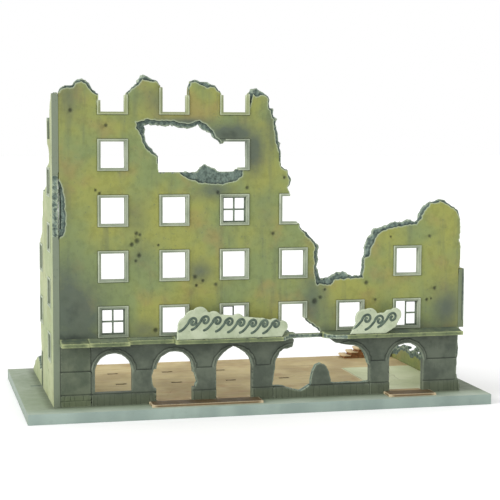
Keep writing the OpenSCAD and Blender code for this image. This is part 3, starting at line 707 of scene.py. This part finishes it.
FRAMES = [node[-2:] for node in sorted(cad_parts) if node.startswith("window_frame_")]


def round_frame(key):
    """The line just outside a window frame, closed on itself."""
    u, v = COLUMNS[int(key[1]) - 1], ROW_Z[int(key[0])]
    a, b = FRAME_W / 2 + 0.2, FRAME_H / 2 + 0.2
    return [(u - a, v - b), (u + a, v - b), (u + a, v + b), (u - a, v + b), (u - a, v - b)]


CORNER_CRACK = [(-153.0, 171), (-152.5, 158), (-152.8, 141)]
wall("front_wall", "y", FRONT_Y, BACK_Y, -1, FRONT_PITS, FRONT_SOOT_AND_SHADE, PLASTER, 11.0,
     [(round_frame(key), 0.4, 0.18) for key in FRAMES] + [(CORNER_CRACK, 0.45, 1.6)])
wall("side_wall_left", "x", LEFT_X, -154, -1, LEFT_PITS, None, SIDE_PLASTER, 23.0)
wall("side_wall_right", "x", 164.5, 159.5, 1, RIGHT_PITS, None, END_PLASTER, 31.0, inner_loss=5.5,
     rings=((0.9, 8.5), (5.0, FAR)))


# ---- arcade ----

ARCH_R, SPRING_Z, RING_W, PLINTH_Z, PIER_PROUD, PLINTH_PROUD, BOARD_H = 14, 33, 3, 16.5, 0.8, 1.5, 8
rng = np.random.default_rng(5)


def arc(x, radius, start, end):
    turn = np.radians(np.linspace(start, end, 40))
    return np.stack([x + radius * np.cos(turn), SPRING_Z + radius * np.sin(turn)], axis=1)


def masonry(name, paint, seed, arches, two_courses=False):
    """One casting of the arcade: moulded rings, piers, and a plinth of narrow upright stones."""
    low, high = box_mm(name)
    courses = [BOARD_H + 0.2, 12.4, PLINTH_Z - 0.25] if two_courses else [BOARD_H + 0.2, PLINTH_Z - 0.25]
    cuts = [([(low[0] + 0.3, z), (high[0] - 0.3, z + 0.1)], 0.24, 0.3) for z in courses[1:-1]]
    for foot, head in zip(courses, courses[1:]):
        x = low[0] + rng.uniform(1.5, 3)
        while x < high[0] - 1.5:
            cuts.append(([(x, foot + 0.1), (x + rng.uniform(-0.3, 0.3), head - 0.1)], 0.22, rng.uniform(0.08, 0.3)))
            x += rng.uniform(2.6, 7.5)
    cuts += [(arc(x, ARCH_R + 1.5, 8, 172), 0.24, 0.1) for x in arches]
    shelves = outlines(name, "y", FRONT_Y - PLINTH_PROUD)
    proud = outlines(name, "y", FRONT_Y - PIER_PROUD)

    def uneven(level):
        return wavy(level, 0.07, 6, seed, 0.08)

    def moulded(points):
        level = uneven(FRONT_Y - PIER_PROUD)(points)
        for x in arches:
            reach = np.hypot(points[:, 0] - x, points[:, 1] - SPRING_Z) - ARCH_R
            ring = (points[:, 1] > SPRING_Z - 0.1) & (reach < RING_W + 0.1)
            level = np.where(ring, level + 0.55 * (2 * reach / RING_W - 0.9) ** 2 - 0.08, level)
        return np.minimum(level, FRONT_Y - 0.1)

    def joint(points):
        from_end = np.minimum(points[:, 0] - low[0], high[0] - points[:, 0])
        return {"joint": np.clip(1.1 - from_end / 0.45, 0, 1)}

    relief(name, "y", -1, outlines(name, "y", BACK_Y), uneven(FRONT_Y), wavy(BACK_Y, 0.08, 12, seed, 0.1),
           [paint, CORE], [(proud, moulded, 0), (shelves, uneven(FRONT_Y - PLINTH_PROUD), 0)], cuts, seed=seed,
           wear=0.22, masks=joint)


masonry("corner_pier", PIER, 41.0, [], True)
masonry("arcade_left", ARCADE, 43.0, COLUMNS[:4])
masonry("parapet_wall", ARCADE, 47.0, [])
masonry("arcade_right", ARCADE, 53.0, COLUMNS[4:])


# ---- canopy ----

CANOPY_Z, CANOPY_TOP, SHELF_Z, SHELF_D = 54, 58.4, 57.2, 3.4
# The slab over the lost bay is broken off past BROKEN_X, and only a strip bridges the bay.
BROKEN_SLAB, BROKEN_X, BRIDGE_X, BRIDGE_Z = 4, 12, 26, 57


def canopy_paint():
    """Painted render: yellow-green on the front edge, dark and green-grey on the slope, with dents and soot, and
    painted shade on the underside.
    """
    p = Paint("canopy_paint", 0.7, 0.3)
    p.tint = p.mottled(12, 0.35, colour(86, 98, 71), colour(105, 116, 82))
    flat = p.band(p.facing("z"), 0.3, 0.9)
    top = p.mottled(9, 0.35, colour(72, 84, 70), colour(98, 108, 82), shift=4)
    top = p.mix(p.mask("pale"), top, colour(142, 154, 124))
    p.over(flat, top)
    # Painted shade: faces turned downwards, under the canopy, take the darker soot colour.
    p.over(p.band(p.facing("z"), -0.4, -0.9), DARK_SOOT_AND_SHADE)
    p.stain(3.2, 0.55, 0.72, 0.5, DARK_SOOT_AND_SHADE, 4, 0.6, (1, 1, 0.4), 2)
    p.over(p.raised(0.51, 0.58, 0.6), colour(176, 184, 132))
    p.over(p.mask("shade", 0.85), DEEP)
    p.grain(1.4, 0.15, 0.6, 5, 0.7)
    return p.finish(5, 0.6, 0.82)


CANOPY = canopy_paint()


def canopy(number, seed, pale):
    """One length of the canopy: a flat shelf along its lip, then a slope up to the wall."""
    name = f"canopy_slab_{number}"
    low, high = box_mm(name)
    lip = low[1] + SHELF_D

    def top(points):
        x, y = points[:, 0], points[:, 1]
        share = np.clip((y - lip) / (FRONT_Y - lip), 0, 1)
        height = SHELF_Z + share * (CANOPY_TOP + 0.5 - SHELF_Z)
        height = np.where(y > FRONT_Y + 0.02, CANOPY_TOP, height)
        height = height - 0.12 - 0.16 * (fractal(points, 5, 3, seed) + 0.3) * (y < FRONT_Y)
        if number == BROKEN_SLAB:
            height = np.where((x > BRIDGE_X) & (y > FRONT_Y - 4), np.minimum(height, BRIDGE_Z), height)
        return height

    whole_to = BROKEN_X if number == BROKEN_SLAB else high[0]
    pits = []
    if high[0] - low[0] > 12:
        for _ in range(int((high[0] - low[0]) / 9)):
            pits.append((rng.uniform(low[0] + 1, whole_to - 1), low[1] + rng.uniform(-0.1, 2.2),
                         rng.uniform(0.5, 1.1), rng.uniform(0.25, 0.6)))
    foot = FRONT_Y - 0.35
    cuts = [([(low[0], lip), (high[0], lip)], 0.3, 0.16), ([(low[0], foot), (high[0], foot)], 0.3, 0.2)]
    x = low[0] + rng.uniform(6, 12)
    while x < high[0] - 4:
        cuts.append(([(x, low[1] - 0.2), (x + rng.uniform(-0.4, 0.4), lip)], 0.25, 0.3))
        x += rng.uniform(9, 22)
    relief(name, "z", 1, outlines(name, "z", CANOPY_Z), top, CANOPY_Z, [CANOPY, CORE], (), cuts, pits,
           seed=seed, wear=0.4, edge=0.22, rings=FINE_RINGS, masks=lambda points: {"pale": np.full(len(points), pale)})


for number, pale in enumerate((0.0, 0.2, 0.3, 0.3, 0.05), 1):
    canopy(number, 60.0 + number, pale)


# ---- signs: pale boards with a generic running scroll in place of writing ----

def sign_paint():
    p = Paint("sign_paint", 0.6, 0.35)
    p.tint = p.mottled(10, 0.35, colour(158, 169, 140), colour(176, 185, 158))
    p.stain(2.4, 0.58, 0.74, 0.4, SOOT, shift=3)
    p.over(p.band(p.facing("y"), -0.85, -0.5, 0, 0.5), colour(120, 132, 112))
    ink = p.mottled(3, 0.35, colour(58, 74, 64), colour(82, 98, 84), 3, 0.5)
    p.over(p.band(p.mask("ink"), 0.25, 0.6), ink)
    p.over(p.raised(0.52, 0.6, 0.45), colour(205, 212, 190))
    p.grain(1.2, 0.08, 0.5, 5, 0.7)
    return p.finish(4, 0.5, 0.7)


SIGN = sign_paint()
SIGN_Y, SIGN_BACK = -84.5, -82.7


def running_scroll(waves):
    """Running waves, each at (u, v): a swell that rises from under the wave before it and curls into a spiral."""
    strokes = []
    for i, (u, v) in enumerate(waves):
        pitch = waves[max(i, 1)][0] - waves[max(i, 1) - 1][0]
        size = 0.38 * pitch
        turns = np.linspace(0, 1.2, 36) * 2 * math.pi
        reach = size * np.linspace(1.0, 0.18, 36)
        curl = np.stack([u + reach * np.cos(3.3 - turns), v + 1.1 * reach * np.sin(3.3 - turns)], axis=1)
        foot = np.array((u - 0.95 * pitch, v - 1.1 * size - 2.6))
        share = np.linspace(0, 1, 12, endpoint=False)[:, None]
        swell = foot * (1 - share) + curl[0] * share
        swell[:, 1] -= 1.2 * np.sin(share[:, 0] * math.pi)
        line = np.concatenate([swell, curl])
        line[:, 0] += 0.22 * (line[:, 1] - v)
        strokes.append(line)
    return strokes


def sign(name, waves, seed):
    """A sign board with raised waves in a dark tint."""
    strokes = running_scroll(waves)
    cuts = [(line, 0.9, -0.42) for line in strokes]

    def ink(points):
        return {"ink": np.clip(1.5 - Near(strokes, closed=False)(points) / 0.9, 0, 1)}

    relief(name, "y", -1, outlines(name, "y", SIGN_BACK), wavy(SIGN_Y, 0.05, 4, seed), SIGN_BACK, [SIGN], (),
           cuts, seed=seed, wear=0.1, edge=0.3, straight=False, rings=((0.5, FAR),), masks=ink)


sign("sign_left", [(-56, 70.2), (-46.6, 71.2), (-37.4, 70.4), (-28.2, 69.3), (-19, 68.4), (-9.9, 67.7), (-0.9, 67.1),
                   (8, 66.6)], 71.0)
sign("sign_right", [(80.5, 68.6), (90.7, 67.4), (101, 69.2)], 73.0)


# ---- floor sheets, steps and board ----

def sheet_paint(name, dark, light, patch, streaks, grain=(0.12, 1, 1), bright=0.5, front=None, inner=None):
    """A thin sheet with streaks along X, cracks, dust and light worn edges."""
    p = Paint(name, 0.75, 0.25)
    p.tint = p.mottled(38, 0.36, dark, light, 3, 0.5)
    p.stain(26, 0.52, 0.72, 0.6, patch, shift=6.1)
    p.stain(4.5, 0.5, 0.72, streaks, colour(128, 104, 74), 5, 0.65, grain, 2.4)
    p.stain(1.6, 0.55, 0.75, 0.35, light, 4, 0.6, grain, 8.8)
    # Faces turned to -Y take the front colour; on the door steps it is a painted lighter lit face.
    if front:
        p.over(p.band(p.facing("y"), -0.5, -0.8), front)
    if inner:
        p.over(p.band(p.along("y"), -0.0755, -0.0745), inner)
    p.over(p.mask("shade", 0.8), colour(66, 56, 42))
    p.over(p.raised(0.51, 0.58, bright), colour(222, 205, 170))
    p.grain(1.5, 0.12, 0.5, 4, 0.65, grain, 5.5)
    return p.finish(7, 0.62, 0.8)


FLOOR = sheet_paint("floor_sheet_paint", colour(166, 148, 106), colour(190, 174, 128), colour(164, 132, 94), 0.5)
SLAB = sheet_paint("yard_slab_paint", colour(182, 190, 150), colour(200, 206, 170), colour(160, 168, 128), 0.12)
# The door steps' top tints are darkened as painted shade from the plinth; their front faces are painted lighter as the
# lit side.
STEP = sheet_paint("door_step_paint", colour(74, 62, 40), colour(94, 78, 50), colour(70, 66, 46), 0.2,
                   bright=0.7, front=colour(106, 86, 60), inner=colour(150, 130, 92))


def crack(start, end, sway, count=9):
    """A crooked line between two points."""
    share = np.linspace(0, 1, count)[:, None]
    line = np.array(start) * (1 - share) + np.array(end) * share
    line[1:-1] += rng.uniform(-sway, sway, (count - 2, 2))
    return line


def flat_sheet(node, paint, seed, cuts, wear=0.2):
    """A thin level sheet with cracks."""
    low, high = box_mm(node)
    relief(node, "z", 1, outlines(node, "z", high[2]), wavy(high[2], 0.08, 14, seed, 0.1), low[2], [paint], (),
           cuts, seed=seed, wear=wear, edge=0.25, rows=3, hole_shade=1.0)


flat_sheet("floor_panel", FLOOR, 81.0, [
    (crack((-120, -40), (-70, -52), 1.5), 0.25, 0.35), (crack((-70, -52), (-60, -30), 1.5), 0.2, 0.3),
    (crack((-40, 10), (20, -8), 2), 0.25, 0.35), (crack((20, -8), (60, 14), 2), 0.25, 0.35),
    (crack((-150, 60), (-60, 76), 2), 0.25, 0.35), (crack((60, 50), (96, 60), 2), 0.25, 0.35),
    (crack((20, -8), (28, -60), 2), 0.2, 0.3), (crack((-140, -10), (-118, 24), 2), 0.2, 0.3)])
flat_sheet("yard_slab", SLAB, 83.0, [
    ([(98.9, -67), (98.9, 34.1), (158, 34.1)], 0.35, 0.4), (crack((100, -20), (157, -34), 1.2), 0.25, 0.35),
    (crack((128, -30), (134, 32), 1.2), 0.22, 0.3)])
for side, seed, start, end in (("left", 85.0, -80, -5), ("right", 87.0, 100, 134)):
    flat_sheet("door_step_" + side, STEP, seed, [([(start, -83.5), (end, -83.2)], 0.25, 0.2)], wear=0.3)


def softened(node, paint, width):
    """A copy of a CAD node with its edges rounded."""
    points, triangles = node_mesh(node)
    bm = bmesh.new()
    verts = [bm.verts.new(p * MM) for p in points]
    for t in triangles.tolist():
        bm.faces.new([verts[i] for i in t])
    bmesh.ops.recalc_face_normals(bm, faces=bm.faces)
    bmesh.ops.dissolve_limit(bm, angle_limit=math.radians(1), verts=bm.verts, edges=bm.edges)
    sharp = [e for e in bm.edges if len(e.link_faces) == 2 and e.calc_face_angle(0) > math.radians(40)]
    bmesh.ops.bevel(bm, geom=sharp, offset=width * MM, segments=2, affect="EDGES", profile=0.6, clamp_overlap=True)
    bmesh.ops.triangulate(bm, faces=bm.faces)
    mesh = bpy.data.meshes.new(node + "_detailed")
    bm.to_mesh(mesh)
    bm.free()
    shown(node, mesh, [paint], 35)


def board_paint():
    """Blue-grey sheet board, with painted shade: darker and greener towards the walls and along their feet, and darker
    on its edge faces and its left end.
    """
    p = Paint("board_paint", 0.6, 0.35)
    p.tint = p.mottled(60, 0.36, colour(144, 158, 142), colour(160, 172, 156), 3, 0.5)
    # Painted shade: darker and greener towards the front wall.
    p.over(p.band(p.along("y"), -0.0955, -0.076, 0, 0.7), colour(120, 132, 106))
    edge = p.mottled(30, 0.36, colour(128, 144, 136), colour(142, 158, 149), 3, 0.5, (1, 1, 0.3))
    # Painted shade: a darker tint on the edge faces, and darker still on the left end.
    p.over(p.band(p.facing("z"), 0.5, 0.9, 1, 0), edge)
    p.over(p.band(p.facing("x"), -0.5, -0.9), colour(118, 130, 119))
    # Painted shade in a band along the feet of the front and left walls.
    wall_foot_shade_front = p.zone(("y", -0.0815, -0.0758), ("x", -0.163, -0.1585), ("x", 0.168, 0.164))
    wall_foot_shade_side = p.zone(("x", -0.1665, -0.1602), ("y", -0.08, -0.076))
    p.over(p.maths("MULTIPLY", p.maths("MAXIMUM", wall_foot_shade_front, wall_foot_shade_side), 0.6), colour(78, 86, 68))
    p.stain(8, 0.58, 0.75, 0.25, colour(110, 120, 108), 5, 0.65, shift=3)
    p.grain(2.5, 0.06, 0.4, 4, 0.6)
    return p.finish(9, 0.5, 0.7)


softened("base_board", board_paint(), 0.35)


# ---- window frames and sashes ----

def frame_paint():
    """Frames: pale, with soot and some painted shade from the front wall's mask, and painted over in the wall's tint on
    the top storey.
    """
    p = Paint("frame_paint", 0.65, 0.3)
    p.tint = p.mottled(24, 0.36, colour(129, 139, 117), colour(152, 160, 138), 3, 0.5)
    p.stain(2.2, 0.56, 0.74, 0.45, SOOT, shift=3)
    p.over(p.mask("olive", 0.75), colour(140, 147, 98))
    p.over(p.mask("soot", 0.7), SOOT)
    p.over(p.mask("shade", 0.7), colour(92, 102, 90))
    p.over(p.raised(0.52, 0.6, 0.5), colour(198, 206, 182))
    p.grain(1.2, 0.08, 0.5)
    return p.finish(4, 0.55, 0.75)


FRAME = frame_paint()
# Across the moulding: [share of the band inwards, depth from the plaster, shade].
MOULDING = [
    (0.0, 0.35, 0.9), (0.0, -0.52, 0.5), (0.07, -0.68, 0), (0.42, -0.7, 0), (0.5, -0.48, 0.35), (0.88, -0.46, 0.1),
    (1.0, -0.3, 0.1), (1.0, 0.8, 0.25), (1.0, 2.6, 0.35), (1.0, 4.9, 0.3), (0.47, 4.9, 0.5), (0.47, 0.35, 0.9)]


def window_frame(node, axis, u, v, width, height, level, path, seed):
    """A moulded window frame swept along corners of its outer edge: a full ring, or an open path with broken ends."""
    closed = path is None
    half_w, half_h = width / 2, height / 2
    path = [(-half_w, -half_h), (half_w, -half_h), (half_w, half_h), (-half_w, half_h)] if closed else path
    stations = []
    count = len(path)
    for i in range(count if closed else count - 1):
        a, b = np.array(path[i], float), np.array(path[(i + 1) % count], float)
        parts = max(2, round(math.hypot(*(b - a)) / 2.6))
        stations += [a + (b - a) * k / parts for k in range(parts)]
    if not closed:
        stations.append(np.array(path[-1], float))
    points, shades, faces = [], [], []
    for s, place in enumerate(stations):
        on_side = abs(abs(place[0]) - half_w) < 1e-6
        on_level = abs(abs(place[1]) - half_h) < 1e-6
        broken_end = not closed and s in (0, len(stations) - 1)
        for k, (share, depth, shade) in enumerate(MOULDING):
            x = place[0] - math.copysign(BAND_W * share, place[0]) if on_side else place[0]
            z = place[1] - math.copysign(BAND_H * share, place[1]) if on_level else place[1]
            if broken_end:
                jag = 1.1 * noise.noise((k * 1.7, seed, s * 2.3))
                x, z = (x, z + jag) if on_side else (x + jag, z)
            point = (u + x, level + depth, v + z) if axis == "y" else (level + depth, u - x, v + z)
            points.append(point)
            shades.append(shade)
    profile = len(MOULDING)
    points = np.array(points)
    points += 0.05 * np.stack([fractal(points, 3, 2, seed + k) for k in range(3)], axis=1)
    total = len(stations)
    for s in range(total if closed else total - 1):
        for k in range(profile):
            a, b = s * profile + k, s * profile + (k + 1) % profile
            c, d = ((s + 1) % total) * profile + (k + 1) % profile, ((s + 1) % total) * profile + k
            faces.append([a, b, c, d])
    if not closed:
        faces.append(list(range(profile)))
        faces.append(list(range((total - 1) * profile, total * profile)))
    # Soot and painted shade from the front wall's mask; the side frames take an even share of soot.
    soot = FRONT_SOOT_AND_SHADE(points) if axis == "y" else np.full(len(points), 0.5)
    olive = np.full(len(points), float(node.startswith("window_frame_0")))
    masks = {"shade": shades, "soot": soot, "olive": olive}
    finished(node, points, faces, [0] * len(faces), masks, [FRAME], 30)


W, H = FRAME_W / 2, FRAME_H / 2
BROKEN_FRAMES = {
    "01": [(-W, -1.4), (-W, -H), (W, -H), (W, 2.6)], "02": [(-W, 8.2), (-W, -H), (W, -H), (W, 2.6)],
    "03": [(-W, 3.0), (-W, -H), (W, -H), (W, 3.6)],
    "13": [(2.8, -H), (W, -H), (W, H), (-7.0, H)], "24": [(-3.1, H), (-W, H), (-W, -H), (2.8, -H)],
    "44": [(-W, -11.0), (-W, H), (W, H), (W, -1.5)]}
for node in sorted(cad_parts):
    if node.startswith("window_frame_"):
        key = node[-2:]
        row, column = int(key[0]), int(key[1])
        window_frame(node, "y", COLUMNS[column - 1], ROW_Z[row], FRAME_W, FRAME_H, FRONT_Y, BROKEN_FRAMES.get(key),
                     90.0 + row * 7 + column)
    elif node.startswith("side_frame_"):
        low, high = box_mm(node)
        _, u, v = (low + high) / 2
        window_frame(node, "x", u, v, SIDE_FRAME_W, SIDE_FRAME_H, LEFT_X, None, 150.0 + int(node[-1]))


def sash_paint():
    p = Paint("sash_paint", 0.6, 0.3)
    p.tint = p.mottled(5, 0.35, colour(92, 104, 90), colour(118, 130, 112))
    p.stain(1.4, 0.56, 0.74, 0.5, DARK_SOOT_AND_SHADE, shift=3)
    p.grain(0.8, 0.06, 0.5)
    return p.finish()


SASH = sash_paint()
for node in ("sash_whole_23", "sash_whole_41", "sash_pane_43", "sash_half_46"):
    softened(node, SASH, 0.14)


# ---- stairs and rubble ----

def brick_paint(name, dark, light, mortar):
    p = Paint(name, 0.8, 0.2)
    p.tint = p.mottled(4, 0.35, dark, light)
    p.over(p.band(p.cells(2.4), 0.1, 0.5, 0.3, 0), DEEP)
    p.over(p.mask("shade", 0.8), mortar)
    p.over(p.raised(0.51, 0.58, 0.5), light)
    p.grain(1.0, 0.15, 0.6)
    return p.finish()


BRICK = brick_paint("stair_brick_paint", colour(124, 84, 50), colour(150, 104, 64), colour(96, 82, 62))
TREAD = sheet_paint("stair_tread_paint", colour(176, 152, 110), colour(204, 184, 142), colour(160, 130, 92), 0.25)
low, high = box_mm("stair_block")
BRICK_W, BRICK_H = 6, 1.7
brick_cuts = []
for row in range(1, 5):
    z = low[2] + row * BRICK_H
    brick_cuts.append(([(low[0] + 1, z), (high[0] - 1, z)], 0.22, 0.25))
    for k in range(7):
        x = low[0] + 4 + k * BRICK_W + (row % 2) * BRICK_W / 2
        if x < high[0] - 1:
            brick_cuts.append(([(x, z - 1.5), (x, z - 0.2)], 0.2, 0.25))
relief("stair_block", "y", -1, outlines("stair_block", "y", low[1]), low[1] + 0.1, high[1], [BRICK, CORE], (),
       brick_cuts, seed=161.0, wear=0.2, rings=FINE_RINGS, rows=6)
softened("stair_treads", TREAD, 0.25)


def stones(node, seeds):
    """Broken stones in place of each loose solid of a CAD node: facets cut into a ball, then roughened."""
    points, triangles = node_mesh(node)
    stone = np.arange(len(points))
    while np.ptp(stone[triangles], axis=1).any():
        np.minimum.at(stone, triangles, stone[triangles].min(axis=1, keepdims=True))
    where, faces = [], []
    for n, first_point in enumerate(np.unique(stone)):
        members = stone == first_point
        low, high = points[members].min(axis=0), points[members].max(axis=0)
        low[2] -= 0.6 * (high[2] - low[2])
        bm = bmesh.new()
        bmesh.ops.create_icosphere(bm, subdivisions=4, radius=1.0)
        ball = np.array([v.co for v in bm.verts])
        cut = np.random.default_rng(seeds + n)
        for _ in range(16):
            way = cut.normal(size=3)
            way /= np.linalg.norm(way)
            reach = cut.uniform(0.62, 0.88)
            past = np.maximum(ball @ way - reach, 0)
            ball -= past[:, None] * way
        ball += 0.05 * np.stack([fractal(ball * 4, 1.6, 3, seeds + n + k) for k in range(3)], axis=1)
        ball = ball / np.abs(ball).max(axis=0) * (high - low) / 2 + (low + high) / 2
        first = len(where)
        where.extend(ball.tolist())
        faces.extend([[first + v.index for v in f.verts] for f in bm.faces])
        bm.free()
    finished(node, where, faces, [0] * len(faces), {"shade": np.zeros(len(where))}, [CORE], 28)


stones("wall_top_rubble", 171)
stones("canopy_rubble", 181)


# ---- camera, floor and light ----

CAMERA_PLACE, LENS = (-269.7, -1126.7, 226.5), 103.48
CAMERA_TURN = (13.865, 5.469, 0.286)  # yaw, pitch and roll
SUN_WAY, SUN_SPREAD, SUN_STRENGTH = (0.85, 0.22, -0.3), 35, 2.75
FLOOR_REACH = 6  # in metres


def look(position, yaw, pitch, roll):
    """A turn that points a camera along +Y, turned to +X by yaw, down by pitch, and rolled."""
    placed = Matrix.Translation(Vector(position) * MM)
    for angle, axis in ((-yaw, "Z"), (90 - pitch, "X"), (roll, "Z")):
        placed @= Matrix.Rotation(math.radians(angle), 4, axis)
    return placed


camera_data = bpy.data.cameras.new("camera")
camera_data.sensor_width = 36
camera_data.lens = LENS
camera_data.clip_end = 20
camera = bpy.data.objects.new("camera", camera_data)
camera.matrix_world = look(CAMERA_PLACE, *CAMERA_TURN)
scene.collection.objects.link(camera)
scene.camera = camera

floor_mesh = bpy.data.meshes.new("floor")
floor_corners = [(x * FLOOR_REACH, y * FLOOR_REACH, 0) for x, y in ((-1, -1), (1, -1), (1, 1), (-1, 1))]
floor_mesh.from_pydata(floor_corners, [], [(0, 1, 2, 3)])
floor = bpy.data.objects.new("floor", floor_mesh)
floor_paint = Paint("floor_paint", 0.9, 0.1)
floor_paint.tint = (0.93, 0.93, 0.93, 1)
floor_mesh.materials.append(floor_paint.finish())
scene.collection.objects.link(floor)
floor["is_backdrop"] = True

world = bpy.data.worlds.new("studio")
world.use_nodes = True
world.node_tree.nodes["Background"].inputs["Color"].default_value = WHITE
world.node_tree.nodes["Background"].inputs["Strength"].default_value = 1.0
scene.world = world

sun = bpy.data.lights.new("key", "SUN")
sun.angle = math.radians(SUN_SPREAD)
sun.energy = SUN_STRENGTH
lamp = bpy.data.objects.new("key", sun)
lamp.matrix_world = Vector(SUN_WAY).to_track_quat("-Z", "Y").to_matrix().to_4x4()
scene.collection.objects.link(lamp)
scene.view_settings.view_transform = "Standard"

low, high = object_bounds()
